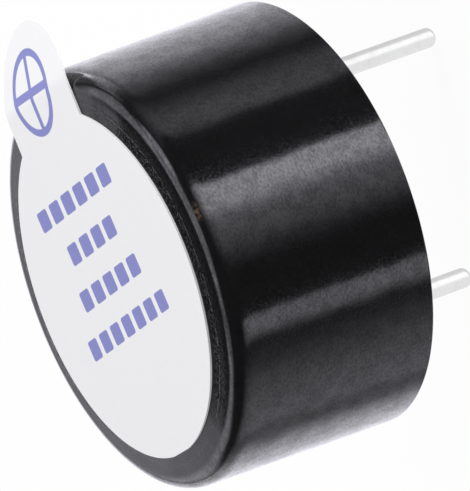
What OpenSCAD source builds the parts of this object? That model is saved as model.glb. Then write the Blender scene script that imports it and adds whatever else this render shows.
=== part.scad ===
// Magnetic buzzer that plugs into a circuit board, in millimetres.
// The base plane is at height zero, and the middle of the pin row is the origin.
// The sound side faces up, the pins point down, and the pull tab and the long pin lie towards plus X.

/* [Case] */
// Outside diameter at the base
case_d = 12; // [11.8:0.1:13]
// Height from the base to the flat top
case_h = 6.2; // [6.2:0.1:7]
// Radius of the rounded top edge
top_round = 0.6; // [0.4:0.05:0.7]
// Lean of the outer wall in degrees, so the case leaves its mould
draft = 0.8; // [0.4:0.1:1.2]
// Side wall around the board
case_wall = 0.6; // [0.5:0.05:0.7]
// Thickness of the top
top_wall = 0.7; // [0.5:0.05:0.8]
// Diameter of the sound hole in the top
sound_hole_d = 2.2; // [1.6:0.1:3]
// Distance of the pin row's middle from the case's axis
row_offset = 0.2; // [0:0.05:0.3]

/* [Seal] */
// Bare flat left between the seal and the rounded edge
seal_margin = 0.4; // [0.3:0.05:0.8]
// Thickness of the seal with its glue
seal_t = 0.06; // [0.04:0.01:0.2]
// How far the seal is stuck off the case's axis
seal_shift = 0.2; // [0:0.05:0.25]
// Width of the pull tab
tab_w = 4.3; // [3.5:0.1:5]
// How far the tab reaches past the top of the wall
tab_reach = 1.6; // [1:0.05:2.5]
// Radius of the bend where the tab leaves the flat top
tab_bend_r = 1.2; // [1:0.1:3]
// Angle in degrees by which the free tab drops
tab_drop = 13.5; // [8:0.5:20]
// Length of the straight cut opposite the tab
seal_flat = 1; // [0.6:0.1:1.6]

/* [Pins] */
// Distance between the two pins
pin_pitch = 6.5; // [6.2:0.1:6.8]
// Diameter of both pins
pin_d = 0.55; // [0.5:0.05:0.65]
// Length of the positive pin below the base
long_pin = 5.5; // [4.5:0.1:8]
// Length of the negative pin below the base
short_pin = 3.7; // [3:0.1:6]
// Radius of the rounded pin ends
pin_tip_round = 0.2; // [0.1:0.05:0.2]

/* [Base] */
// Depth of the potting's surface inside the base rim
resin_recess = 0.25; // [0.15:0.05:0.3]
// Depth of potting under the board, which covers the parts on it
resin_depth = 1.2; // [1.15:0.05:1.35]
// Thickness of the circuit board
board_t = 0.5; // [0.4:0.1:0.6]
// Thickness of the copper foil on the board's underside
foil_t = 0.035; // [0.035:0.005:0.07]
// Width of a foil track
track_w = 0.3; // [0.2:0.05:0.4]

/* [Drive] */
// Thickness of the steel yoke plate
yoke_t = 0.4; // [0.3:0.05:0.5]
// Share of the height over the yoke plate that the sound cavity takes
cavity_share = 0.365; // [0.32:0.005:0.42]
// Thickness of the diaphragm
diaphragm_t = 0.08; // [0.05:0.01:0.1]
// Share of the height between yoke plate and diaphragm seat that the core's air gap takes
gap_share = 0.1; // [0.08:0.01:0.15]
// Diameter of the pole core
core_d = 2.4; // [2:0.1:2.6]
// Share of the room around the bobbin's tube that the magnet takes
magnet_share = 0.43; // [0.36:0.01:0.5]
// Share of the winding's depth that the drive winding takes
drive_share = 0.58; // [0.5:0.01:0.66]
// Diameter of the weight on the diaphragm
weight_d = 3.2; // [2.4:0.1:4]
// Thickness of the weight
weight_t = 0.35; // [0.2:0.05:0.5]

/* [Hidden] */
$fn = 64;
fine_fn = 40;
over = 0.5;

// Outer shape of the case: the round is struck between two points on the leaning wall and the flat top
case_r = case_d / 2;
round_lean = (90 + draft) / 2;
round_mid_z = case_h - top_round;
round_mid_r = case_r - (top_round + round_mid_z * sin(draft)) / cos(draft);
round_top = [round_mid_r, case_h];
round_side = [round_mid_r + top_round * cos(draft), round_mid_z + top_round * sin(draft)];
wall_top_r = case_r - case_h * tan(draft);
// The round's centre lies this much further in than a tangent one, which leaves a fine edge on each side of it
round_edge = 0.02;
round_centre = [round_mid_r - round_edge * cos(round_lean), round_mid_z - round_edge * sin(round_lean)];
round_r = norm(round_top - round_centre);

// Steps inside the case, from the base up
bore_r = case_r - case_wall;
bore_chamfer = 0.15;
ledge_w = 0.25;
chamber_r = bore_r - ledge_w;
seat_w = 0.4;
cavity_r = chamber_r - seat_w;
cavity_chamfer = 0.3;
sound_hole_r = sound_hole_d / 2;
board_z = resin_recess + resin_depth;
yoke_z = board_z + board_t;
yoke_top = yoke_z + yoke_t;
roof_z = case_h - top_wall;
seat_z = roof_z - cavity_share * (roof_z - yoke_top);
drive_h = seat_z - yoke_top;
diaphragm_z = seat_z - diaphragm_t;
core_top = diaphragm_z - gap_share * drive_h;

// Fits
board_clearance = 0.1;
plate_clearance = 0.1;
ring_clearance = 0.05;
magnet_clearance = 0.1;
bend_clearance = 0.05;
core_clearance = 0.05;
wire_clearance = 0.07;
pin_clearance = 0.025;
board_r = bore_r - board_clearance;
plate_r = chamber_r - plate_clearance;
ring_r = chamber_r - ring_clearance;

// Drive unit
ring_wall = 0.6;
ring_seat_w = 0.3;
ring_step = 0.17;
core_r = core_d / 2;
core_chamfer = 0.1;
stud_r = 0.8;
bobbin_in_r = core_r + core_clearance;
bobbin_wall = 0.15;
drive_in_r = bobbin_in_r + bobbin_wall;
magnet_r = ring_r - ring_wall - magnet_clearance;
magnet_in_r = magnet_r - magnet_share * (magnet_r - drive_in_r);
magnet_drop = 0.12;
magnet_chamfer = 0.1;
bobbin_r = magnet_in_r - magnet_clearance;
bobbin_drop_share = 0.05;
bobbin_top = core_top - bobbin_drop_share * drive_h;
winding_z = yoke_top + bobbin_wall;
winding_h = bobbin_top - bobbin_wall - winding_z;
winding_margin = 0.1;
feedback_r = bobbin_r - winding_margin;
drive_r = drive_in_r + drive_share * (feedback_r - drive_in_r);

// Coil ends and the holes they pass through
wire_r = 0.05;
wire_dive = 0.12;
drive_wire_inset = 0.3;
feedback_wire_outset = 0.12;
drive_wire_r = drive_r - drive_wire_inset;
feedback_wire_r = drive_r + feedback_wire_outset;
collector_turn = 118;
supply_turn = 66;
feedback_turn = 90;
collector_at = polar(drive_wire_r, collector_turn);
supply_drive_at = polar(drive_wire_r, supply_turn);
supply_feedback_at = polar(feedback_wire_r, supply_turn);
supply_at = (supply_drive_at + supply_feedback_at) / 2;
feedback_at = polar(feedback_wire_r, feedback_turn);
wire_hole_r = wire_r + wire_clearance;
supply_hole_r = norm(supply_feedback_at - supply_at) + wire_hole_r;
plate_hole_room = 0.1;

// Board layout, seen from above
long_pin_at = [row_offset + pin_pitch / 2, 0];
short_pin_at = [row_offset - pin_pitch / 2, 0];
pin_r = pin_d / 2;
pin_pad_r = 0.75;
wire_pad_r = 0.38;
supply_pad_r = 0.52;
foil_z = board_z - foil_t;
pin_hole_r = pin_r + pin_clearance;

// Transistor with three bent leads
transistor_at = [-0.2, -1.9];
transistor_size = [2.9, 1.3, 0.95];
transistor_gap = 0.08;
lead_pitch = 1.9;
lead_w = 0.4;
lead_t = 0.12;
lead_reach = 0.55;
lead_rise = 0.45;
lead_foot = 0.35;
lead_pad = [0.55, 0.6];
collector_foot = transistor_at + [0, foot_y()];
base_foot = transistor_at + [lead_pitch / 2, -foot_y()];
emitter_foot = transistor_at + [-lead_pitch / 2, -foot_y()];

// Chip resistor
resistor_at = [1.7, -0.6];
resistor_size = [0.8, 1.6, 0.45];
cap_l = 0.3;
cap_t = 0.03;
resistor_pad = [0.85, 0.5];
resistor_step = [0, (resistor_size[1] - cap_l) / 2];
feedback_bend = [0, 0.9];

// Pins: above its round run each wire is pressed flat, widest in the potting so that it can't pull out
anchor_cover = 0.05;
anchor_z = resin_recess + anchor_cover;
anchor_h = 0.65;
anchor_w = 1.45 * pin_d;
anchor_t = 0.55 * pin_d;
tail_w = 0.9 * pin_d;
pin_short_of_top = 0.05;
tip_edge = 0.01;
solder_h = 0.4;
solder_neck = 0.1;
solder_margin = 0.08;

function polar(radius, turn) = [radius * cos(turn), radius * sin(turn)];

function foot_y() = transistor_size[1] / 2 + lead_reach - lead_foot / 2;

// Waste outside the arc that rounds a corner between two points
module corner_waste(first, beyond, last, centre, radius) {
    difference() {
        polygon([first, beyond, last]);
        translate(centre) circle(radius);
    }
}

// Every piece is drawn about the case's axis and then moved, so that the pin row's middle is the origin
module on_case_axis() {
    translate([-row_offset, 0, 0]) children();
}

module case_outline() {
    wall_corner = [wall_top_r, case_h];
    difference() {
        polygon([[0, 0], [case_r, 0], wall_corner, [0, case_h]]);
        corner_waste(round_top, wall_corner + [over, over], round_side, round_centre, round_r);
    }
}

module case_hollow() {
    polygon([
        [0, -over],
        [bore_r + bore_chamfer, -over],
        [bore_r + bore_chamfer, 0],
        [bore_r, bore_chamfer],
        [bore_r, yoke_z],
        [chamber_r, yoke_z],
        [chamber_r, seat_z],
        [cavity_r, seat_z],
        [cavity_r, roof_z - cavity_chamfer],
        [cavity_r - cavity_chamfer, roof_z],
        [sound_hole_r, roof_z],
        [sound_hole_r, case_h + over],
        [0, case_h + over]
    ]);
}

module housing() {
    color([0.03, 0.03, 0.032])
    rotate_extrude() difference() {
        case_outline();
        case_hollow();
    }
}

// Outline of the seal as cut from its sheet, with the tab towards plus X
module seal_outline() {
    seal_r = round_mid_r - seal_margin;
    flat_x = sqrt(pow(seal_r, 2) - pow(seal_flat / 2, 2));
    tab_end_x = wall_top_r + tab_reach - tab_w / 2;
    difference() {
        circle(seal_r);
        translate([-flat_x - seal_r, -seal_r]) square([seal_r, 2 * seal_r]);
    }
    translate([0, -tab_w / 2]) square([tab_end_x, tab_w]);
    translate([tab_end_x, 0]) circle(tab_w / 2);
}

// Side view of the sheet: flat where it is stuck down, then a short bend and the tab's straight slope
module seal_section() {
    flat_end = round_mid_r + bend_clearance;
    tail = round_mid_r;
    inner_r = tab_bend_r - seal_t;
    wedge = 2 * tab_bend_r;
    translate([-tail, 0]) square([tail + flat_end, seal_t]);
    translate([flat_end, seal_t - tab_bend_r]) {
        intersection() {
            difference() {
                circle(tab_bend_r, $fn = 4 * $fn);
                circle(inner_r, $fn = 4 * $fn);
            }
            polygon([[0, 0], [0, wedge], wedge * [sin(tab_drop), cos(tab_drop)]]);
        }
        rotate(-tab_drop) translate([0, inner_r]) square([tab_w + tab_reach, seal_t]);
    }
}

module wash_seal() {
    color([0.93, 0.93, 0.95])
    translate([0, seal_shift, case_h]) intersection() {
        rotate([90, 0, 0]) linear_extrude(2 * case_d, center = true) seal_section();
        translate([0, 0, -case_h]) linear_extrude(2 * case_h) seal_outline();
    }
}

module diaphragm() {
    color([0.62, 0.64, 0.66])
    translate([0, 0, diaphragm_z]) cylinder(r = plate_r, h = diaphragm_t);
}

module diaphragm_weight() {
    color([0.5, 0.51, 0.53])
    translate([0, 0, seat_z]) cylinder(d = weight_d, h = weight_t);
}

module support_ring() {
    inner = ring_r - ring_wall;
    color([0.85, 0.83, 0.76])
    rotate_extrude() polygon([
        [inner, yoke_top],
        [ring_r, yoke_top],
        [ring_r, diaphragm_z],
        [ring_r - ring_seat_w, diaphragm_z],
        [ring_r - ring_seat_w, diaphragm_z - ring_step],
        [inner, diaphragm_z - ring_step]
    ]);
}

module ring_magnet() {
    top = core_top - magnet_drop;
    color([0.2, 0.19, 0.19])
    rotate_extrude() polygon([
        [magnet_in_r, yoke_top],
        [magnet_r, yoke_top],
        [magnet_r, top - magnet_chamfer],
        [magnet_r - magnet_chamfer, top],
        [magnet_in_r + magnet_chamfer, top],
        [magnet_in_r, top - magnet_chamfer]
    ]);
}

// Holes for the coil ends, wider by some room in the plate and the bobbin than in the board
module wire_holes(room) {
    translate(collector_at) circle(wire_hole_r + room, $fn = fine_fn);
    translate(feedback_at) circle(wire_hole_r + room, $fn = fine_fn);
    translate(supply_at) circle(supply_hole_r + room, $fn = fine_fn);
}

module yoke_plate() {
    color([0.66, 0.67, 0.7])
    translate([0, 0, yoke_z]) linear_extrude(yoke_t) difference() {
        circle(plate_r);
        circle(stud_r);
        wire_holes(plate_hole_room);
    }
}

module pole_core() {
    color([0.58, 0.59, 0.62])
    rotate_extrude() polygon([
        [0, yoke_z],
        [stud_r, yoke_z],
        [stud_r, yoke_top],
        [core_r, yoke_top],
        [core_r, core_top - core_chamfer],
        [core_r - core_chamfer, core_top],
        [0, core_top]
    ]);
}

module bobbin() {
    color([0.9, 0.88, 0.82])
    difference() {
        rotate_extrude() polygon([
            [bobbin_in_r, yoke_top],
            [bobbin_r, yoke_top],
            [bobbin_r, winding_z],
            [drive_in_r, winding_z],
            [drive_in_r, winding_z + winding_h],
            [bobbin_r, winding_z + winding_h],
            [bobbin_r, bobbin_top],
            [bobbin_in_r, bobbin_top]
        ]);
        translate([0, 0, yoke_top - over]) linear_extrude(bobbin_wall + 2 * over) wire_holes(plate_hole_room);
    }
}

// Winding between two radii with its wire ends running down to the board's joints
module winding(inner, outer, ends) {
    difference() {
        translate([0, 0, winding_z]) cylinder(r = outer, h = winding_h);
        translate([0, 0, winding_z - over]) cylinder(r = inner, h = winding_h + 2 * over);
    }
    for (end = ends)
        translate([end[0], end[1], foil_z - wire_dive])
            cylinder(r = wire_r, h = winding_z + wire_dive - foil_z, $fn = fine_fn);
}

module drive_coil() {
    color([0.72, 0.36, 0.2]) winding(drive_in_r, drive_r, [collector_at, supply_drive_at]);
}

module feedback_coil() {
    color([0.78, 0.42, 0.22]) winding(drive_r, feedback_r, [supply_feedback_at, feedback_at]);
}

// Drilled holes of the board, shared by the laminate and its foil
module board_holes() {
    translate(long_pin_at) circle(pin_hole_r, $fn = fine_fn);
    translate(short_pin_at) circle(pin_hole_r, $fn = fine_fn);
    wire_holes(0);
}

module circuit_board() {
    color([0.72, 0.6, 0.32])
    translate([0, 0, board_z]) linear_extrude(board_t) difference() {
        circle(board_r);
        board_holes();
    }
}

// Straight foil track between two points
module track(start, end) {
    run = end - start;
    translate(start) rotate(atan2(run[1], run[0]))
        translate([0, -track_w / 2]) square([norm(run), track_w]);
}

module pad(at, size) {
    translate(at - size / 2) square(size);
}

module foil_outline() {
    first_cap = resistor_at - resistor_step;
    last_cap = resistor_at + resistor_step;
    difference() {
        union() {
            track(supply_at, long_pin_at);
            track(collector_at, collector_foot);
            track(emitter_foot, short_pin_at);
            track(base_foot, first_cap);
            track(feedback_at, feedback_bend);
            track(feedback_bend, last_cap);
            translate(feedback_bend) circle(track_w / 2, $fn = fine_fn);
            translate(long_pin_at) circle(pin_pad_r, $fn = fine_fn);
            translate(short_pin_at) circle(pin_pad_r, $fn = fine_fn);
            translate(collector_at) circle(wire_pad_r, $fn = fine_fn);
            translate(feedback_at) circle(wire_pad_r, $fn = fine_fn);
            translate(supply_at) circle(supply_pad_r, $fn = fine_fn);
            for (foot = [collector_foot, base_foot, emitter_foot])
                pad(foot, lead_pad);
            for (end = [first_cap, last_cap])
                pad(end, resistor_pad);
        }
        board_holes();
    }
}

module copper_tracks() {
    color([0.8, 0.5, 0.3])
    translate([0, 0, foil_z]) linear_extrude(foil_t) foil_outline();
}

module transistor_body() {
    color([0.06, 0.06, 0.065])
    translate([transistor_at[0], transistor_at[1], foil_z - transistor_gap - transistor_size[2] / 2])
        cube(transistor_size, center = true);
}

// One bent lead, leaving the body towards plus Y and standing on the foil
module bent_lead() {
    side = transistor_size[1] / 2;
    shelf_z = -lead_rise;
    rotate([90, 0, 90]) translate([0, 0, -lead_w / 2]) linear_extrude(lead_w) polygon([
        [side, shelf_z - lead_t],
        [side + lead_reach - lead_foot + lead_t, shelf_z - lead_t],
        [side + lead_reach - lead_foot + lead_t, -lead_t],
        [side + lead_reach, -lead_t],
        [side + lead_reach, 0],
        [side + lead_reach - lead_foot, 0],
        [side + lead_reach - lead_foot, shelf_z],
        [side, shelf_z]
    ]);
}

module transistor_leads() {
    color([0.78, 0.78, 0.8])
    translate([transistor_at[0], transistor_at[1], foil_z]) {
        bent_lead();
        for (side = [-1, 1])
            translate([side * lead_pitch / 2, 0, 0]) rotate(180) bent_lead();
    }
}

module resistor_body() {
    core_size = resistor_size - [0, 2 * cap_l, cap_t];
    color([0.1, 0.1, 0.11])
    translate([resistor_at[0], resistor_at[1], foil_z - cap_t - core_size[2] / 2])
        cube(core_size, center = true);
}

module resistor_caps() {
    color([0.76, 0.76, 0.78])
    for (end = [-1, 1])
        translate([resistor_at[0], resistor_at[1] + end * resistor_step[1], foil_z - resistor_size[2] / 2])
            cube([resistor_size[0], cap_l, resistor_size[2]], center = true);
}

// Half section of the round wire that stands out of the potting, with its rounded end
module pin_section(length) {
    start = [pin_r, pin_tip_round - length];
    corner = [pin_r, -length];
    end = [pin_r - pin_tip_round, -length];
    centre = [pin_r - pin_tip_round - tip_edge, pin_tip_round + tip_edge - length];
    difference() {
        polygon([[0, anchor_z], [pin_r, anchor_z], corner, [0, -length]]);
        corner_waste(start, corner + [over, -over], end, centre, norm(start - centre));
    }
}

module pin(length) {
    neck_z = anchor_z + anchor_h;
    rotate_extrude($fn = fine_fn) pin_section(length);
    translate([-anchor_t / 2, -anchor_w / 2, anchor_z]) cube([anchor_t, anchor_w, anchor_h]);
    translate([-anchor_t / 2, -tail_w / 2, neck_z]) cube([anchor_t, tail_w, yoke_z - pin_short_of_top - neck_z]);
}

module positive_pin() {
    color([0.82, 0.82, 0.84])
    translate(long_pin_at) pin(long_pin);
}

module negative_pin() {
    color([0.82, 0.82, 0.84])
    translate(short_pin_at) pin(short_pin);
}

// Solder cone hanging from a foil pad
module solder_cone(at, pad_r, neck_r) {
    translate([at[0], at[1], foil_z - solder_h])
        cylinder(r1 = neck_r, r2 = pad_r - solder_margin, h = solder_h, $fn = fine_fn);
}

module wire_bores(points) {
    for (point = points)
        translate([point[0], point[1], foil_z - wire_dive])
            cylinder(r = wire_r, h = wire_dive + over, $fn = fine_fn);
}

module positive_solder() {
    color([0.7, 0.7, 0.73])
    difference() {
        solder_cone(long_pin_at, pin_pad_r, pin_r + solder_neck);
        translate(long_pin_at) pin(long_pin);
    }
}

module negative_solder() {
    color([0.7, 0.7, 0.73])
    difference() {
        solder_cone(short_pin_at, pin_pad_r, pin_r + solder_neck);
        translate(short_pin_at) pin(short_pin);
    }
}

module supply_solder() {
    color([0.7, 0.7, 0.73])
    difference() {
        solder_cone(supply_at, supply_pad_r, supply_hole_r);
        wire_bores([supply_drive_at, supply_feedback_at]);
    }
}

module collector_solder() {
    color([0.7, 0.7, 0.73])
    difference() {
        solder_cone(collector_at, wire_pad_r, wire_hole_r);
        wire_bores([collector_at]);
    }
}

module feedback_solder() {
    color([0.7, 0.7, 0.73])
    difference() {
        solder_cone(feedback_at, wire_pad_r, wire_hole_r);
        wire_bores([feedback_at]);
    }
}

// Cast fill of the base, which takes the shape of everything on the board's underside
module potting_resin() {
    color([0.05, 0.05, 0.055])
    difference() {
        translate([0, 0, resin_recess]) cylinder(r = bore_r, h = resin_depth);
        translate([0, 0, foil_z]) linear_extrude(foil_t + over) union() {
            foil_outline();
            board_holes();
        }
        transistor_body();
        transistor_leads();
        resistor_body();
        resistor_caps();
        positive_pin();
        negative_pin();
        solder_cone(long_pin_at, pin_pad_r, pin_r + solder_neck);
        solder_cone(short_pin_at, pin_pad_r, pin_r + solder_neck);
        solder_cone(supply_at, supply_pad_r, supply_hole_r);
        solder_cone(collector_at, wire_pad_r, wire_hole_r);
        solder_cone(feedback_at, wire_pad_r, wire_hole_r);
    }
}

on_case_axis() housing();
on_case_axis() wash_seal();
on_case_axis() diaphragm();
on_case_axis() diaphragm_weight();
on_case_axis() support_ring();
on_case_axis() ring_magnet();
on_case_axis() yoke_plate();
on_case_axis() pole_core();
on_case_axis() bobbin();
on_case_axis() drive_coil();
on_case_axis() feedback_coil();
on_case_axis() circuit_board();
on_case_axis() copper_tracks();
on_case_axis() transistor_body();
on_case_axis() transistor_leads();
on_case_axis() resistor_body();
on_case_axis() resistor_caps();
on_case_axis() positive_pin();
on_case_axis() negative_pin();
on_case_axis() positive_solder();
on_case_axis() negative_solder();
on_case_axis() supply_solder();
on_case_axis() collector_solder();
on_case_axis() feedback_solder();
on_case_axis() potting_resin();
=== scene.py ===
"""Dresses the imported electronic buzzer: its finishes, its outer pieces, a plain studio and the camera.

Sizes are written in millimetres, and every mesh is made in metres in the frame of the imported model.
"""

from __future__ import annotations

import logging
import math
from dataclasses import dataclass
from enum import Enum

import bmesh
import bpy
import numpy as np
from mathutils import Matrix, Vector


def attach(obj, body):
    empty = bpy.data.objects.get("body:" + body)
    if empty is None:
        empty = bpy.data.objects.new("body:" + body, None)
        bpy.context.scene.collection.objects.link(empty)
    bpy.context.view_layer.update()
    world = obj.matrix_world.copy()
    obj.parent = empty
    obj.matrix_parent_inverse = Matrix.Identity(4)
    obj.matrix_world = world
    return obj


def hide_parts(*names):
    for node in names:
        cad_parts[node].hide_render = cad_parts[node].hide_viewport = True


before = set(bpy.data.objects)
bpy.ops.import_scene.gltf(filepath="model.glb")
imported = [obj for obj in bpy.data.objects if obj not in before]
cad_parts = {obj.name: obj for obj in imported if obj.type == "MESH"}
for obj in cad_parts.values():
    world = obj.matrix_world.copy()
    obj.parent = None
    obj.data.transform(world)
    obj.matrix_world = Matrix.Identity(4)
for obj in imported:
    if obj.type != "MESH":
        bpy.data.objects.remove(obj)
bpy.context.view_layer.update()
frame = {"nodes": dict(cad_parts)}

# Metres in a millimetre, and millimetres in a thousandth of one
MM = 0.001
MICRON = 0.001
BODY = "root"
IMAGE_WIDTH = 470
IMAGE_HEIGHT = 491
AXIS_X = -0.2
INK_EDGE = 0.03
LOG = logging.getLogger("buzzer")

Group = bpy.types.NodeTree
Material = bpy.types.Material
Node = bpy.types.Node
Piece = bpy.types.Object
Socket = bpy.types.NodeSocket
Value = Socket | float | tuple


class Sheen(Enum):
    """Roughness of a surface, by what it looks like."""

    BRIGHT = 0.2
    SATIN = 0.34
    DULL = 0.52
    MATT = 0.72


class Ray(Enum):
    """Kinds of ray that the studio answers in different ways, by the name of the Light Path output."""

    CAMERA = "Is Camera Ray"
    GLOSSY = "Is Glossy Ray"
    TRANSMISSION = "Is Transmission Ray"


# Node trees


def emptied(owner: Material | bpy.types.World) -> Group:
    """Empties the tree of a material or a world."""
    owner.use_nodes = True
    owner.node_tree.nodes.clear()
    return owner.node_tree


class NodeSketch:
    """Adds nodes to one tree and joins them, so that a finish reads as the sum that it works out."""

    def __init__(self, tree: Group) -> None:
        """Keeps the tree that the nodes go into."""
        self.tree = tree

    def node(self, kind: str, *values: Value, **settings: object) -> Node:
        """Adds one node.

        Args:
            kind: Blender's name of the node type.
            values: what goes into its first inputs, in order.
            settings: properties to set on the node.

        Returns:
            The new node.
        """
        made = self.tree.nodes.new(kind)
        for name, value in settings.items():
            setattr(made, name, value)
        for target, value in zip(made.inputs, values):
            self.put(target, value)
        return made

    def put(self, target: Socket, value: Value) -> None:
        """Feeds an input from another socket, or sets it to a plain value.

        Args:
            target: the input socket.
            value: what it gets.
        """
        if isinstance(value, bpy.types.NodeSocket):
            self.tree.links.new(value, target)
        else:
            target.default_value = value

    def feed(self, node: Node, **values: Value) -> Node:
        """Feeds the inputs of a node by name.

        Args:
            node: the node.
            values: what goes into each input, with underscores for spaces.

        Returns:
            The same node.
        """
        for name, value in values.items():
            self.put(node.inputs[name.replace("_", " ")], value)
        return node

    def math(self, operation: str, *values: Value) -> Socket:
        """Works out one sum on numbers, by Blender's name of the sum."""
        return self.node("ShaderNodeMath", *values, operation=operation).outputs[0]

    def times(self, first: Value, second: Value) -> Socket:
        """Multiplies two numbers."""
        return self.math("MULTIPLY", first, second)

    def less(self, first: Value, second: Value) -> Socket:
        """Takes the second number from the first."""
        return self.math("SUBTRACT", first, second)

    def rest(self, share: Value) -> Socket:
        """What a share leaves of one."""
        return self.math("SUBTRACT", 1.0, share)

    def add_share(self, value: Value, share: Value, total: Value) -> Socket:
        """Adds a number, times its share, to a total."""
        return self.math("MULTIPLY_ADD", value, share, total)

    def within(self, value: Value, low: float, high: float) -> Socket:
        """Keeps a number between two others."""
        return self.math("MINIMUM", self.math("MAXIMUM", value, low), high)

    def vector(self, operation: str, *values: Value) -> Socket:
        """Works out one sum on vectors, which gives a number for a length or a dot product."""
        made = self.node("ShaderNodeVectorMath", *values, operation=operation)
        return made.outputs["Value" if operation in ("LENGTH", "DOT_PRODUCT") else "Vector"]

    def parts(self, vector: Socket) -> list[Socket]:
        """Splits a vector into its three numbers."""
        return list(self.node("ShaderNodeSeparateXYZ", vector).outputs)

    def join(self, x: Value, y: Value, z: Value) -> Socket:
        """Makes a vector of three numbers."""
        return self.node("ShaderNodeCombineXYZ", x, y, z).outputs[0]

    def step(self, value: Value, low: Value, high: Value) -> Socket:
        """Rises smoothly from 0 to 1 while the value goes from the low one to the high one."""
        return self.node("ShaderNodeMapRange", value, low, high, interpolation_type="SMOOTHSTEP").outputs[0]

    def spread(self, value: Value, low: Value, high: Value) -> Socket:
        """Stretches a number from the range 0 to 1 to another range."""
        return self.node("ShaderNodeMapRange", value, 0.0, 1.0, low, high).outputs[0]

    def blend(self, share: Value, first: Value, second: Value) -> Socket:
        """Mixes two colours.

        Args:
            share: how much of the second there is.
            first: the colour at share 0.
            second: the colour at share 1.

        Returns:
            The mixed colour's socket.
        """
        made = self.node("ShaderNodeMix", share, data_type="RGBA")
        targets = [socket for socket in made.inputs if socket.type == "RGBA"]
        for target, colour in zip(targets, (first, second)):
            self.put(target, colour)
        return next(socket for socket in made.outputs if socket.type == "RGBA")

    def noise(self, place: Value, scale: Value, detail: float = 2.0, roughness: float = 0.5) -> Socket:
        """Reads cloudy noise.

        Args:
            place: where the noise is read.
            scale: lumps per unit of that place.
            detail: how many finer layers are added.
            roughness: how strong the finer layers are.

        Returns:
            The socket of the noise, from 0 to 1.
        """
        made = self.node("ShaderNodeTexNoise")
        self.feed(made, Vector=place, Scale=scale, Detail=detail, Roughness=roughness)
        return made.outputs[0]

    def effect(self, group: Group, output: str, **values: Value) -> Socket:
        """Places a shared effect, fed by name, and picks one of its outputs."""
        return self.feed(self.node("ShaderNodeGroup", node_tree=group), **values).outputs[output]


class SharedEffect:
    """A shader node group in the making, with named inputs and outputs."""

    def __init__(self, name: str, vectors: list[str], values: list[str], outputs: list[str]) -> None:
        """Makes the empty group.

        Args:
            name: what the effect is called.
            vectors: names of the vectors that go in.
            values: names of the numbers that go in.
            outputs: names of the numbers that come out.
        """
        self.group = bpy.data.node_groups.new(name, "ShaderNodeTree")
        sockets = [("INPUT", "NodeSocketVector", label) for label in vectors]
        sockets += [("INPUT", "NodeSocketFloat", label) for label in values]
        sockets += [("OUTPUT", "NodeSocketFloat", label) for label in outputs]
        for way, kind, label in sockets:
            self.group.interface.new_socket(name=label, in_out=way, socket_type=kind)
        self.sketch = NodeSketch(self.group)
        self._end = self.sketch.node("NodeGroupOutput")
        start = self.sketch.node("NodeGroupInput")
        self.given = [start.outputs[label] for label in (*vectors, *values)]

    def give(self, **values: Socket) -> Group:
        """Sends sockets out through the outputs of those names and hands over the group."""
        self.sketch.feed(self._end, **values)
        return self.group


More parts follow.
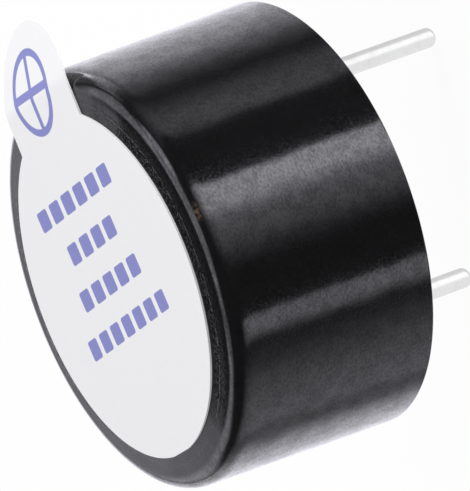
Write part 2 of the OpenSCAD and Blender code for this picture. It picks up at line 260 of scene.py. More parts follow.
class Effects:
    """The effects that several finishes share, each built once."""

    def __init__(self) -> None:
        """Builds every group."""
        self.grain = self._make_grain()
        self.speckle = self._make_speckle()
        self.streaks = self._make_streaks()
        self.turns = self._make_turns()
        self.print_row = self._make_print_row()
        self.polarity_sign = self._make_polarity_sign()
        self.panel = self._make_panel()
        self.round_panel = self._make_round_panel()

    @staticmethod
    def _make_grain() -> Group:
        """Fine moulded grain: a coarse noise plus a share of one about three times as fine."""
        finer = 2.9
        fine_share = 0.45
        effect = SharedEffect("fine grain", ["Place"], ["Size"], ["Height"])
        place, size = effect.given
        s = effect.sketch
        scale = s.math("DIVIDE", 1.0, size)
        coarse = s.noise(place, scale)
        fine = s.noise(place, s.times(scale, finer))
        return effect.give(Height=s.add_share(fine, fine_share, s.times(coarse, 1.0 - fine_share)))

    @staticmethod
    def _make_speckle() -> Group:
        """Scattered specks: the peaks of a noise above a level, as a soft mask and as rounded heaps."""
        edge = 0.05
        effect = SharedEffect("speckle", ["Place"], ["Size", "Level"], ["Mask", "Heap"])
        place, size, level = effect.given
        s = effect.sketch
        lumps = s.noise(place, s.math("DIVIDE", 1.0, size), 1.0)
        mask = s.step(lumps, level, s.math("ADD", level, edge))
        return effect.give(Mask=mask, Heap=s.math("MAXIMUM", s.less(lumps, level), 0.0))

    @staticmethod
    def _make_streaks() -> Group:
        """Lines along one axis: noise read at a place that is squeezed more across than along."""
        effect = SharedEffect("streaks", ["Place", "Squeeze"], [], ["Height"])
        s = effect.sketch
        squeezed = s.vector("MULTIPLY", *effect.given)
        return effect.give(Height=s.noise(squeezed, 1.0, detail=3.0, roughness=0.6))

    @staticmethod
    def _make_turns() -> Group:
        """Turns of wire: a cosine of the height over the pitch, pushed about by a little noise."""
        drift_scale = 900.0
        drift_turns = 1.6
        effect = SharedEffect("turns of wire", ["Place"], ["Pitch"], ["Height"])
        place, pitch = effect.given
        s = effect.sketch
        height = s.parts(place)[2]
        drift = s.noise(place, drift_scale, 1.0)
        turn = s.add_share(drift, drift_turns, s.math("DIVIDE", height, pitch))
        wave = s.math("COSINE", s.times(turn, 2 * math.pi))
        return effect.give(Height=s.add_share(wave, 0.5, 0.5))

    @staticmethod
    def _make_print_row() -> Group:
        """One row of printed blocks: equal boxes with rounded corners, between two ends of a line."""
        effect = SharedEffect(
            "printed row", [],
            ["Along", "Up", "Start", "Length", "Count", "Base", "Tall", "Space", "Corner"], ["Mask"],
        )
        along, up, start, length, count, base, tall, space, corner = effect.given
        s = effect.sketch
        pitch = s.math("DIVIDE", length, count)
        run = s.less(along, start)
        middle = s.times(length, 0.5)
        inside = s.math("COMPARE", run, middle, middle)
        in_block = s.less(s.math("WRAP", run, pitch, 0.0), s.times(pitch, 0.5))
        half_wide = s.times(s.less(pitch, space), 0.5)
        half_tall = s.times(tall, 0.5)
        rise = s.less(s.less(up, base), half_tall)
        out_x = s.less(s.math("ABSOLUTE", in_block), s.less(half_wide, corner))
        out_y = s.less(s.math("ABSOLUTE", rise), s.less(half_tall, corner))
        past = s.join(s.math("MAXIMUM", out_x, 0.0), s.math("MAXIMUM", out_y, 0.0), 0.0)
        away = s.less(s.vector("LENGTH", past), corner)
        ink = s.rest(s.step(away, -INK_EDGE, 0.0))
        return effect.give(Mask=s.times(ink, inside))

    @staticmethod
    def _make_polarity_sign() -> Group:
        """A plus in a circle: the ring is a band of radii, and each bar a band about one axis inside."""
        names = ["Along", "Up", "Radius", "Ring", "Bar Along", "Bar Up"]
        effect = SharedEffect("polarity sign", [], names, ["Mask"])
        along, up, radius, ring, bar_along, bar_up = effect.given
        s = effect.sketch

        def beyond(value: Socket, edge: Socket) -> Socket:
            """Share by which a number has passed an edge."""
            return s.step(s.less(value, edge), -INK_EDGE, 0.0)

        def bar(off: Socket, width: Socket) -> Socket:
            """Ink of one bar, from how far a place is off its middle line."""
            return s.rest(beyond(s.math("ABSOLUTE", off), s.times(width, 0.5)))

        reach = s.vector("LENGTH", s.join(along, up, 0.0))
        disc = s.rest(beyond(reach, radius))
        band = beyond(reach, s.less(radius, ring))
        cross = s.math("MAXIMUM", bar(up, bar_along), bar(along, bar_up))
        return effect.give(Mask=s.times(disc, s.math("MAXIMUM", band, cross)))

    @staticmethod
    def _make_panel() -> Group:
        """A studio panel: full between two bearings and two heights, with a fade on each side."""
        effect = SharedEffect(
            "studio panel", [],
            ["Bearing", "Height", "Middle", "Half", "Before", "After", "Low", "Top", "Fade", "Level"],
            ["Light"],
        )
        bearing, height, middle, half, before, after, low, top, fade, level = effect.given
        s = effect.sketch
        off = s.math("WRAP", s.less(bearing, middle), math.pi, -math.pi)
        start = s.times(half, -1.0)
        rise = s.step(off, s.less(start, before), start)
        fall = s.rest(s.step(off, half, s.math("ADD", half, after)))
        under = s.rest(s.step(height, s.less(top, fade), top))
        over = s.step(height, s.less(low, fade), low)
        area = s.times(s.times(rise, fall), s.times(under, over))
        return effect.give(Light=s.times(area, level))

    @staticmethod
    def _make_round_panel() -> Group:
        """A round studio panel: full within one angle of its direction, and gone beyond another."""
        effect = SharedEffect("round panel", ["Way", "Towards"], ["Outer", "Inner", "Level"], ["Light"])
        way, towards, outer, inner, level = effect.given
        s = effect.sketch
        near = s.vector("DOT_PRODUCT", way, towards)
        return effect.give(Light=s.times(s.step(near, outer, inner), level))


# Finishes


@dataclass(frozen=True)
class Layer:
    """One layer of a finish: its lumps' size, what it adds, and the level that its specks rise above."""

    size: float
    adds: float = 0.0
    level: float = 0.0


class FinishSketch(NodeSketch):
    """A new material with one surface shader, whose effects are read at the object's own coordinates."""

    def __init__(self, name: str, effects: Effects) -> None:
        """Makes the material and its shader.

        Args:
            name: the material's name.
            effects: the shared effects.
        """
        self.material = bpy.data.materials.new(name)
        super().__init__(emptied(self.material))
        self.effects = effects
        self.shader = self.node("ShaderNodeBsdfPrincipled")
        self.node("ShaderNodeOutputMaterial", self.shader.outputs[0])
        self.place = self.node("ShaderNodeTexCoord").outputs["Object"]

    def grain(self, size: float) -> Socket:
        """Fine grain of a size in millimetres."""
        return self.effect(self.effects.grain, "Height", Place=self.place, Size=size * MM)

    def specks(self, layer: Layer, output: str = "Mask") -> Socket:
        """Specks of one layer, as a mask or as heaps."""
        size = layer.size * MM
        return self.effect(self.effects.speckle, output, Place=self.place, Size=size, Level=layer.level)

    def lines(self, squeeze: tuple) -> Socket:
        """Lines from noise that is squeezed by a number on each axis."""
        return self.effect(self.effects.streaks, "Height", Place=self.place, Squeeze=squeeze)

    def lumps(self, size: float, detail: float) -> Socket:
        """Cloudy noise with lumps of a size in millimetres."""
        return self.noise(self.place, 1.0 / (size * MM), detail)

    def done(self, relief: Socket, depth: float, **values: Value) -> Material:
        """Feeds the shader and roughens its normal.

        Args:
            relief: the relief, in units of the depth.
            depth: how deep one unit of the relief is, in millimetres.
            values: what goes into the shader's inputs, with underscores for spaces.

        Returns:
            The finished material.
        """
        bump = self.feed(self.node("ShaderNodeBump"), Strength=1.0, Distance=depth * MM, Height=relief)
        self.feed(self.shader, Normal=bump.outputs[0], **values)
        return self.material


class Finish:
    """What every finish has: a name, the shared effects and a material of its own."""

    name: str
    effects: Effects

    def surface(self) -> FinishSketch:
        """Starts the finish's material."""
        return FinishSketch(self.name, self.effects)


@dataclass(frozen=True)
class MouldedBlack(Finish):
    """Glossy black moulded plastic: a rippled, pitted skin, an eroded top, a seam line and some dirt.

    The relief is summed in thousandths of a millimetre. The top falls off a little towards the seam.
    """

    effects: Effects
    name: str = "case_plastic"
    top_band: tuple = (6.1, 6.14)
    fall_from: float = 4.5
    fall: float = 7.0
    seam_r: float = 5.165
    seam_half: float = 0.05
    seam_ease: float = 0.24
    seam_ridge: Layer = Layer(0.11, 4.0, 0.47)
    rim_fade: float = 0.2
    dark: tuple = (0.002, 0.002, 0.0022, 1.0)
    pale: tuple = (0.0055, 0.0055, 0.006, 1.0)
    skin: Layer = Layer(0.07, 0.6)
    ripple: Layer = Layer(1.5, 24.0)
    peel: Layer = Layer(0.25, 1.6)
    pits: Layer = Layer(0.06, -1.6, 0.5)
    eroded_pits: Layer = Layer(0.042, -24.0, 0.58)
    skin_rough: tuple = (0.04, 0.1)
    dull: Layer = Layer(0.05, 0.15, 0.5)
    eroded_rough: float = 0.04
    dirt_rough: float = 0.4
    cloud: Layer = Layer(0.45, 0.36)
    worn: tuple = (0.37, 0.63)
    gloss: tuple = (0.24, 0.84)
    gloss_squeeze: tuple = (11000.0, 11000.0, 19000.0)
    gloss_rough: float = 0.11
    under_gloss: float = 0.26
    dirt: tuple = (0.095, 0.062, 0.042, 1.0)
    dirt_at: tuple = (0.3, -5.75, 5.99)
    dirt_reach: tuple = (0.36, 0.17, 0.14)
    dirt_edge: tuple = (0.2, 1.0)
    crumb_size: float = 0.09
    crumb_band: tuple = (0.3, 0.7)

    def make(self) -> Material:
        """Builds the material.

        Returns:
            The finished material.
        """
        s = self.surface()
        x, y, z = s.parts(s.place)
        reach = s.vector("LENGTH", s.join(s.less(x, AXIS_X * MM), y, 0.0))
        half = self.seam_half * MM
        ease = self.seam_ease * MM
        on_top = s.step(z, *(height * MM for height in self.top_band))
        off_seam = s.less(reach, self.seam_r * MM)
        eroded = s.times(on_top, s.rest(s.step(off_seam, 0.0, half)))
        seam = s.times(on_top, s.rest(s.step(s.math("ABSOLUTE", off_seam), 0.0, half)))
        past = s.within(off_seam, 0.0, ease)
        eased = s.add_share(s.times(past, past), -0.5 / ease, past)
        falling = s.math("ADD", s.within(reach, self.fall_from * MM, self.seam_r * MM), eased)

        skin = s.grain(self.skin.size)
        relief: Value = 0.0
        for height, adds in (
            (skin, self.skin.adds),
            (s.lumps(self.ripple.size, 1.0), self.ripple.adds),
            (s.lumps(self.peel.size, 1.0), self.peel.adds),
            (s.specks(self.pits, "Heap"), self.pits.adds),
            (s.times(s.specks(self.eroded_pits, "Heap"), eroded), self.eroded_pits.adds),
            (s.times(seam, s.specks(self.seam_ridge)), self.seam_ridge.adds),
            (falling, -math.tan(math.radians(self.fall)) / (MICRON * MM)),
        ):
            relief = s.add_share(height, adds, relief)

        off = s.vector("SUBTRACT", s.place, tuple(v * MM for v in self.dirt_at))
        near = s.vector("LENGTH", s.vector("DIVIDE", off, tuple(v * MM for v in self.dirt_reach)))
        crumbs = s.step(s.lumps(self.crumb_size, 3.0), *self.crumb_band)
        heap = s.times(s.rest(s.step(near, *self.dirt_edge)), crumbs)

        mottled = s.times(s.specks(self.dull), s.rest(eroded))
        rough = s.add_share(mottled, self.dull.adds, s.spread(skin, *self.skin_rough))
        rough = s.add_share(eroded, self.eroded_rough, rough)
        fine = s.lines(self.gloss_squeeze)
        cloud = s.lumps(self.cloud.size, 3.0)
        wear = s.add_share(cloud, self.cloud.adds, s.times(fine, 1.0 - self.cloud.adds))
        past_rim = s.step(off_seam, ease, ease + self.rim_fade * MM)
        gloss = s.times(s.spread(s.step(wear, *self.worn), *self.gloss), past_rim)
        return s.done(
            relief, MICRON, Base_Color=s.blend(heap, s.blend(skin, self.dark, self.pale), self.dirt),
            Roughness=s.add_share(heap, self.dirt_rough, rough), Coat_Weight=s.times(gloss, s.rest(heap)),
            Coat_Roughness=self.gloss_rough, Specular_IOR_Level=self.under_gloss,
        )


@dataclass(frozen=True)
class PrintedSheet(Finish):
    """Coated white label sheet with rows of blue blocks and a polarity sign."""

    effects: Effects
    name: str = "seal_sheet"
    white: tuple = (0.812, 0.812, 0.825, 1.0)
    grey: tuple = (0.782, 0.782, 0.795, 1.0)
    fibre: Layer = Layer(0.35, 0.004)
    sheet_rough: tuple = (0.4, 0.52)
    specular: float = 0.25
    ink: tuple = (0.19, 0.202, 0.504, 1.0)
    thin_ink: tuple = (0.25, 0.264, 0.552, 1.0)
    ink_size: float = 0.12
    ink_rough: float = 0.1
    turn: float = 2.0
    row_pitch: float = 1.243
    first_base: float = 2.29
    row_middle: float = -0.05
    row_lengths: tuple = (5.36, 3.5, 4.36, 5.76)
    row_counts: tuple = (6, 4, 5, 7)
    block_tall: float = 0.6
    block_space: float = 0.2
    block_corner: float = 0.1
    sign_at: tuple = (-0.245, 5.66)
    sign_r: float = 1.23
    sign_ring: float = 0.21
    sign_bar_along: float = 0.27
    sign_bar_up: float = 0.23

    def make(self) -> Material:
        """Builds the material, with the print laid out on the flat sheet.

        Returns:
            The finished material.
        """
        s = self.surface()
        flat = s.node("ShaderNodeUVMap", uv_map=SealSheet.UV_NAME).outputs[0]
        centred = s.vector("SUBTRACT", flat, (0.5, 0.5, 0.0))
        u, v, _ = s.parts(s.vector("MULTIPLY", centred, (SealSheet.span,) * 3))
        along = s.times(v, -1.0)
        sine = math.sin(math.radians(self.turn))
        cosine = math.cos(math.radians(self.turn))
        level = s.add_share(u, sine, s.times(along, cosine))
        up = s.less(s.times(u, cosine), s.times(along, sine))

        ink = s.effect(
            self.effects.polarity_sign, "Mask",
            Along=s.less(along, self.sign_at[0]), Up=s.less(u, self.sign_at[1]),
            Radius=self.sign_r, Ring=self.sign_ring, Bar_Along=self.sign_bar_along, Bar_Up=self.sign_bar_up,
        )
        for row, (length, count) in enumerate(zip(self.row_lengths, self.row_counts)):
            blocks = s.effect(
                self.effects.print_row, "Mask", Along=level, Up=up,
                Start=self.row_middle - length / 2, Length=length, Count=float(count),
                Base=self.first_base - row * self.row_pitch, Tall=self.block_tall,
                Space=self.block_space, Corner=self.block_corner,
            )
            ink = s.math("MAXIMUM", ink, blocks)

        fibre = s.grain(self.fibre.size)
        sheet = s.blend(fibre, self.grey, self.white)
        inked = s.blend(s.grain(self.ink_size), self.ink, self.thin_ink)
        return s.done(
            fibre, self.fibre.adds, Base_Color=s.blend(ink, sheet, inked),
            Roughness=s.add_share(ink, self.ink_rough, s.spread(fibre, *self.sheet_rough)),
            Specular_IOR_Level=self.specular,
        )


@dataclass(frozen=True)
class BareMetal(Finish):
    """Metal with lines left by drawing or rolling, and a patchy tarnish."""

    effects: Effects
    name: str
    bright: tuple
    tarnish: tuple
    sheen: Sheen
    squeeze: tuple = (9000.0, 9000.0, 600.0)
    depth: float = 0.0012
    patch_size: float = 0.4
    patch_band: tuple = (0.4, 0.75)
    rough_shares: tuple = (0.7, 1.6)

    def make(self) -> Material:
        """Builds the material.

        Returns:
            The finished material.
        """
        s = self.surface()
        lines = s.lines(self.squeeze)
        patch = s.grain(self.patch_size)
        low, high = (self.sheen.value * share for share in self.rough_shares)
        return s.done(
            lines, self.depth, Base_Color=s.blend(s.step(patch, *self.patch_band), self.bright, self.tarnish),
            Roughness=s.spread(s.times(lines, patch), low, high), Metallic=1.0,
        )


@dataclass(frozen=True)
class WoundWire(Finish):
    """Enamelled copper wire wound in close turns, with a glossy coat, and painted shade darkening the grooves
    between turns.
    """

    effects: Effects
    name: str = "copper_wire"
    ridge: tuple = (0.62, 0.24, 0.1, 1.0)
    # Colour in the grooves between turns: painted shade, not a colour of the copper itself
    painted_groove_shade: tuple = (0.16, 0.045, 0.02, 1.0)
    groove_rough: float = 0.5
    pitch: float = 0.07
    depth: float = 0.02
    metallic: float = 0.85
    enamel: float = 0.6

    def make(self) -> Material:
        """Builds the material.

        Returns:
            The finished material.
        """
        s = self.surface()
        turns = s.effect(self.effects.turns, "Height", Place=s.place, Pitch=self.pitch * MM)
        # Base colour darkens from ridge to groove with the turns: painted shade between the turns
        return s.done(
            turns, self.depth, Base_Color=s.blend(turns, self.painted_groove_shade, self.ridge),
            Roughness=s.spread(turns, self.groove_rough, Sheen.BRIGHT.value),
            Metallic=self.metallic, Coat_Weight=self.enamel,
        )


@dataclass(frozen=True)
class PlainSolid(Finish):
    """Plastic, ceramic, laminate or resin: a grained body colour with scattered specks."""

    effects: Effects
    name: str
    body: tuple
    shade: tuple
    speck: tuple
    sheen: Sheen
    grain: float = 0.2
    speck_size: float = 0.15
    speck_level: float = 0.62
    depth: float = 0.004
    rough_shares: tuple = (0.75, 1.25)
    speck_rough: float = 0.12

    def make(self) -> Material:
        """Builds the material.

        Returns:
            The finished material.
        """
        s = self.surface()
        grain = s.grain(self.grain)
        specks = s.specks(Layer(self.speck_size, level=self.speck_level))
        low, high = (self.sheen.value * share for share in self.rough_shares)
        return s.done(
            s.less(grain, specks), self.depth,
            Base_Color=s.blend(specks, s.blend(grain, self.shade, self.body), self.speck),
            Roughness=s.add_share(specks, self.speck_rough, s.spread(grain, low, high)),
        )


# Meshes


def grid_quads(rows: int, columns: int, wrap_rows: bool) -> np.ndarray:
    """Joins each point of a grid to its neighbours in the next column and row; columns close on themselves.

    Args:
        rows: how many rows of points there are.
        columns: how many points a row has.
        wrap_rows: whether the last row joins the first.

    Returns:
        One row of four point numbers for each face.
    """
    first = np.arange(rows if wrap_rows else rows - 1)
    row, column = np.meshgrid(first, np.arange(columns), indexing="ij")
    next_row = (row + 1) % rows
    next_column = (column + 1) % columns
    corners = [row * columns + column, row * columns + next_column,
               next_row * columns + next_column, next_row * columns + column]
    return np.stack(corners, axis=-1).reshape(-1, 4)


def arc_points(centre: tuple, radius: float, start: float, end: float, count: int) -> np.ndarray:
    """Points on a circle: the centre plus the radius times the cosine and the sine of evenly spread angles.

    Args:
        centre: the circle's centre in its plane.
        radius: its radius.
        start: the first angle in degrees.
        end: the last angle in degrees.
        count: how many points.

    Returns:
        The points, one in each row.
    """
    angle = np.radians(np.linspace(start, end, count))
    return np.stack([centre[0] + radius * np.cos(angle), centre[1] + radius * np.sin(angle)], axis=1)


def turn_profile(profile: np.ndarray, middle: tuple, steps: int) -> np.ndarray:
    """Turns a profile about an upright axis: x and y are the radius times cosine and sine, and z stays.

    Args:
        profile: radius and height of each point.
        middle: where the axis stands in X and Y.
        steps: points round the axis.

    Returns:
        The points as rows of the profile by columns of the turn.
    """
    angle = np.linspace(0.0, 2 * math.pi, steps, endpoint=False)
    radius, height = profile[:, :1], profile[:, 1:]
    x = middle[0] + radius * np.cos(angle)
    y = middle[1] + radius * np.sin(angle)
    return np.stack([x, y, np.broadcast_to(height, x.shape)], axis=-1)


def add_object(name: str, data: bpy.types.ID) -> Piece:
    """Puts a mesh, a lamp or a camera into the scene as an object at the origin."""
    made = bpy.data.objects.new(name, data)
    bpy.context.scene.collection.objects.link(made)
    return made


def make_piece(name: str, points: np.ndarray, faces: list, sharp: float) -> Piece:
    """Makes a smooth piece from points in millimetres, with points that coincide merged.

    Args:
        name: the piece's name.
        points: the points, one in each row.
        faces: point numbers of each face.
        sharp: edges that bend by more than this many degrees stay sharp.

    Returns:
        The piece's object, riding on the part.
    """
    same = 1e-8
    mesh = bpy.data.meshes.new(name)
    mesh.from_pydata((points.reshape(-1, 3) * MM).tolist(), [], faces)
    work = bmesh.new()
    work.from_mesh(mesh)
    bmesh.ops.remove_doubles(work, verts=work.verts, dist=same)
    bmesh.ops.dissolve_degenerate(work, edges=work.edges, dist=same)
    work.to_mesh(mesh)
    work.free()
    mesh.polygons.foreach_set("use_smooth", np.ones(len(mesh.polygons), bool))
    mesh.set_sharp_from_angle(angle=math.radians(sharp))
    mesh.update()
    piece = add_object(name, mesh)
    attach(piece, BODY)
    LOG.info("%s: %d faces", name, len(mesh.polygons))
    return piece


def dress(piece: Piece, material: Material) -> None:
    """Gives a piece or a node one material in place of what it had."""
    piece.data.materials.clear()
    piece.data.materials.append(material)


# Sub-assemblies


@dataclass
class HousingPiece:
    """The moulded housing: a cup with a slight draft, a rounded top edge, a level top and a sound hole."""

    outer_r: float = 5.994
    tall: float = 6.2
    edge_wide: float = 0.74
    edge_tall: float = 0.66
    edge_fullness: float = 2.75
    top_soft: float = 0.05
    draft: float = 0.8
    wall: float = 0.6
    top_wall: float = 0.7
    hole_r: float = 1.1
    base_round: float = 0.05
    bore_chamfer: float = 0.15
    ledge_w: float = 0.25
    seat_w: float = 0.4
    cavity_chamfer: float = 0.3
    ledge_z: float = 1.95
    seat_z: float = 4.35
    edge_points: int = 41
    side_points: int = 9
    base_points: int = 5
    steps: int = 384

    def profile(self) -> np.ndarray:
        """Outline of the cut wall, from the base outwards, up, over the rounded edge and back down inside.

        The rounded edge is a quarter of a slightly full ellipse on the leaning wall: its radius falls with a
        power of the cosine and its height rises with the same power of the sine of an angle, and the lean
        is added by height.

        Returns:
            Radius and height of each point, as a closed loop.
        """
        lean = math.tan(math.radians(self.draft))
        bore = self.outer_r - self.wall
        chamber = bore - self.ledge_w
        cavity = chamber - self.seat_w
        roof = self.tall - self.top_wall
        angle = np.linspace(0.0, math.pi / 2, self.edge_points)
        power = 2.0 / self.edge_fullness
        height = self.tall - self.edge_tall * (1.0 - np.sin(angle) ** power)
        flat_r = self.outer_r - self.tall * lean - self.edge_wide
        rounding = self.edge_wide * np.maximum(np.cos(angle), 0.0) ** power
        radius = flat_r + rounding + (self.tall - height) * lean
        side = np.linspace(self.base_round, height[0], self.side_points)[1:-1]
        foot = (self.outer_r - self.base_round, self.base_round)
        outside = np.concatenate([
            arc_points(foot, self.base_round, -90.0, 0.0, self.base_points),
            np.stack([self.outer_r - side * lean, side], axis=1),
            np.stack([radius, height], axis=1),
            [[flat_r - self.top_soft, self.tall]],
        ])
        inside = np.array([
            [self.hole_r, self.tall], [self.hole_r, roof], [cavity - self.cavity_chamfer, roof],
            [cavity, roof - self.cavity_chamfer], [cavity, self.seat_z], [chamber, self.seat_z],
            [chamber, self.ledge_z], [bore, self.ledge_z], [bore, self.bore_chamfer],
            [bore + self.bore_chamfer, 0.0],
        ])
        return np.concatenate([outside, inside])

    def build(self, material: Material) -> None:
        """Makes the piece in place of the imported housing.

        Args:
            material: its finish.
        """
        points = turn_profile(self.profile(), (AXIS_X, 0.0), self.steps)
        faces = grid_quads(points.shape[0], self.steps, True)
        piece = make_piece("moulded_housing", points, faces.tolist(), sharp=12.0)
        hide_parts("housing")
        dress(piece, material)


@dataclass
class SealSheet:
    """The stick-on seal: a thin disc with one trimmed side and a tab that bends down over the rim."""

    UV_NAME = "flat_sheet"
    disc_r: float = 4.86
    disc_shift: float = -0.06
    trimmed: float = 1.0
    tab_w: float = 4.3
    tab_tip: float = 7.51
    bend_from: float = 5.372
    bend_r: float = 1.2
    drop: float = 13.5
    thick: float = 0.06
    base_z: float = 6.2
    shift_y: float = 0.2
    span: float = 16.0
    disc_points: int = 150
    side_points: int = 24
    tip_points: int = 60
    across: int = 33
    upward: float = 0.2

    def outline(self) -> tuple[np.ndarray, np.ndarray, np.ndarray]:
        """Edges of the flat sheet on each side of the tab's middle line.

        Each is the greater of the disc's half chord, moved by its shift, and the tab's half width, which
        closes on a half circle at the tip.

        Returns:
            Distance along the sheet of each station, and how far the sheet reaches to each side there.
        """
        half = self.tab_w / 2
        trim = math.degrees(math.asin(self.trimmed / 2 / self.disc_r))
        meet = math.degrees(math.asin(half / self.disc_r))
        end_x = self.tab_tip - half
        disc = arc_points((0.0, 0.0), self.disc_r, 180.0 - trim, meet, self.disc_points)[:, 0]
        straight = np.linspace(disc[-1], end_x, self.side_points)[1:]
        tip = arc_points((end_x, 0.0), half, 90.0, 0.0, self.tip_points)[1:, 0]
        x = np.concatenate([disc, straight, tip])
        chord = np.sqrt(np.maximum(self.disc_r ** 2 - x ** 2, 0.0))
        tab = np.sqrt(np.maximum(half ** 2 - np.maximum(x - end_x, 0.0) ** 2, 0.0)) * (x > 0.0)
        far, near = (np.where(x < self.disc_r, np.maximum(chord + shift, tab), tab)
                     for shift in (self.disc_shift, -self.disc_shift))
        return x, far, near

    def surface(self, x: np.ndarray, radius: float) -> np.ndarray:
        """Height of a face: level up to the bend, on a circle through the bend, then on a straight slope.

        Args:
            x: distance along the sheet.
            radius: the bend's radius for this face.

        Returns:
            Height of the face above the base.
        """
        angle = math.radians(self.drop)
        centre_z = self.base_z + self.thick - self.bend_r
        past = np.maximum(x - self.bend_from, 0.0)
        curved = np.minimum(past, radius * math.sin(angle))
        return centre_z + np.sqrt(radius ** 2 - curved ** 2) - (past - curved) * math.tan(angle)

    def build(self, material: Material) -> None:
        """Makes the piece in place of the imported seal, with the flat sheet's layout as its map.

        Args:
            material: its finish.
        """
        x, far, near = self.outline()
        y = far[:, None] - (far + near)[:, None] * np.linspace(0.0, 1.0, self.across)
        along = np.broadcast_to(x[:, None], y.shape)
        upper = np.stack([along, y, self.surface(along, self.bend_r)], axis=-1)
        lower = np.stack([along, y, self.surface(along, self.bend_r - self.thick)], axis=-1)
        loop = np.concatenate([upper, lower[:, ::-1]], axis=1)
        loop = loop + np.array([AXIS_X, self.shift_y, 0.0])
        faces = grid_quads(loop.shape[0], loop.shape[1], False).tolist()
        faces.append(list(range(loop.shape[1]))[::-1])
        piece = make_piece("printed_seal", loop, faces, sharp=40.0)
        self._lay_flat(piece.data)
        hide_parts("wash_seal")
        dress(piece, material)

    def _lay_flat(self, mesh: bpy.types.Mesh) -> None:
        """Maps the upper face to the flat sheet, with bend and slope at full length, and the rest beside it.

        Args:
            mesh: the seal's mesh.
        """
        angle = math.radians(self.drop)
        spots = np.empty(len(mesh.vertices) * 3)
        mesh.vertices.foreach_get("co", spots)
        spots = spots.reshape(-1, 3) / MM - np.array([AXIS_X, self.shift_y, 0.0])
        past = np.maximum(spots[:, 0] - self.bend_from, 0.0)
        curved = np.minimum(past, self.bend_r * math.sin(angle))
        flat_x = np.minimum(spots[:, 0], self.bend_from) + self.bend_r * np.arcsin(curved / self.bend_r)
        flat_x = flat_x + (past - curved) / math.cos(angle)
        corners = np.empty(len(mesh.loops), int)
        mesh.loops.foreach_get("vertex_index", corners)
        counts = np.empty(len(mesh.polygons), int)
        mesh.polygons.foreach_get("loop_total", counts)
        facing = np.empty(len(mesh.polygons) * 3)
        mesh.polygons.foreach_get("normal", facing)
        beside = np.repeat(facing.reshape(-1, 3)[:, 2] < self.upward, counts)
        spread = np.stack([flat_x[corners], spots[corners, 1]], axis=1) / self.span + 0.5
        spread[beside, 1] += 1.0
        layer = mesh.uv_layers.new(name=self.UV_NAME)
        layer.data.foreach_set("uv", spread.astype(np.float32).ravel())


@dataclass
class PinPair:
    """The two tinned wires, round and drawn to a domed end, the longer one at the tab's side."""

    radius: float = 0.275
    pitch: float = 6.5
    long_reach: float = 5.5
    short_reach: float = 3.7
    root_z: float = 0.6
    dome: float = 0.23
    dome_points: int = 16
    side_points: int = 12
    steps: int = 64

    def profile(self, reach: float) -> np.ndarray:
        """Outline from the end's middle up to the root: a quarter ellipse, then the straight side.

        Args:
            reach: how far the wire stands below the base.

        Returns:
            Radius and height of each point.
        """
        angle = np.linspace(0.0, math.pi / 2, self.dome_points)
        dome = np.stack([self.radius * np.sin(angle), -reach + self.dome * (1.0 - np.cos(angle))], axis=1)
        side = np.linspace(-reach + self.dome, self.root_z, self.side_points)[1:]
        wall = np.stack([np.full_like(side, self.radius), side], axis=1)
        return np.concatenate([dome, wall, [[0.0, self.root_z]]])

    def build(self, material: Material) -> None:
        """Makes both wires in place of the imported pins.

        Args:
            material: their finish.
        """
        rows = (
            ("tinned_pin_long", "positive_pin", self.pitch / 2, self.long_reach),
            ("tinned_pin_short", "negative_pin", -self.pitch / 2, self.short_reach),
        )
        for name, node, x, reach in rows:
            points = turn_profile(self.profile(reach), (x, 0.0), self.steps)
            faces = grid_quads(points.shape[0], self.steps, False)
            piece = make_piece(name, points, faces.tolist(), sharp=60.0)
            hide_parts(node)
            dress(piece, material)


@dataclass
class CastBase:
    """The cast resin in the base, with the hollow rim that it leaves against the wall and round each pin."""

    face_z: float = 0.25
    bore_r: float = 5.4
    climb: float = 0.13
    wall_reach: float = 0.5
    pin_reach: float = 0.4
    sink: float = 0.05
    points: int = 14
    wall_steps: int = 256

    def hollow(self, contact: float, reach: float) -> np.ndarray:
        """Section of the rim: its depth falls off as the square of the share left from the contact line.

        Args:
            contact: radius at which the resin clings.
            reach: how far the rim runs from there, outwards where positive.

        Returns:
            Radius and height of each point, as a closed loop.
        """
        share = np.linspace(0.0, 1.0, self.points)
        radius = contact + reach * share
        height = self.face_z - self.climb * (1.0 - share) ** 2
        back = np.array([[contact + reach, self.face_z + self.sink], [contact, self.face_z + self.sink]])
        loop = np.concatenate([np.stack([radius, height], axis=1), back])
        return loop if reach > 0 else loop[::-1]

    def build(self, material: Material) -> None:
        """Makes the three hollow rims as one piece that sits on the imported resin.

        Args:
            material: the resin's finish.
        """
        at_pin = self.hollow(PinPair.radius, self.pin_reach)
        rims = [(self.hollow(self.bore_r, -self.wall_reach), AXIS_X, self.wall_steps)]
        rims += [(at_pin, side * PinPair.pitch / 2, PinPair.steps) for side in (1, -1)]
        points, faces, used = [], [], 0
        for loop, x, steps in rims:
            ring = turn_profile(loop, (x, 0.0), steps)
            faces += (grid_quads(ring.shape[0], steps, True) + used).tolist()
            points.append(ring.reshape(-1, 3))
            used += ring.shape[0] * steps
        piece = make_piece("resin_rims", np.concatenate(points), faces, sharp=35.0)
        dress(piece, material)


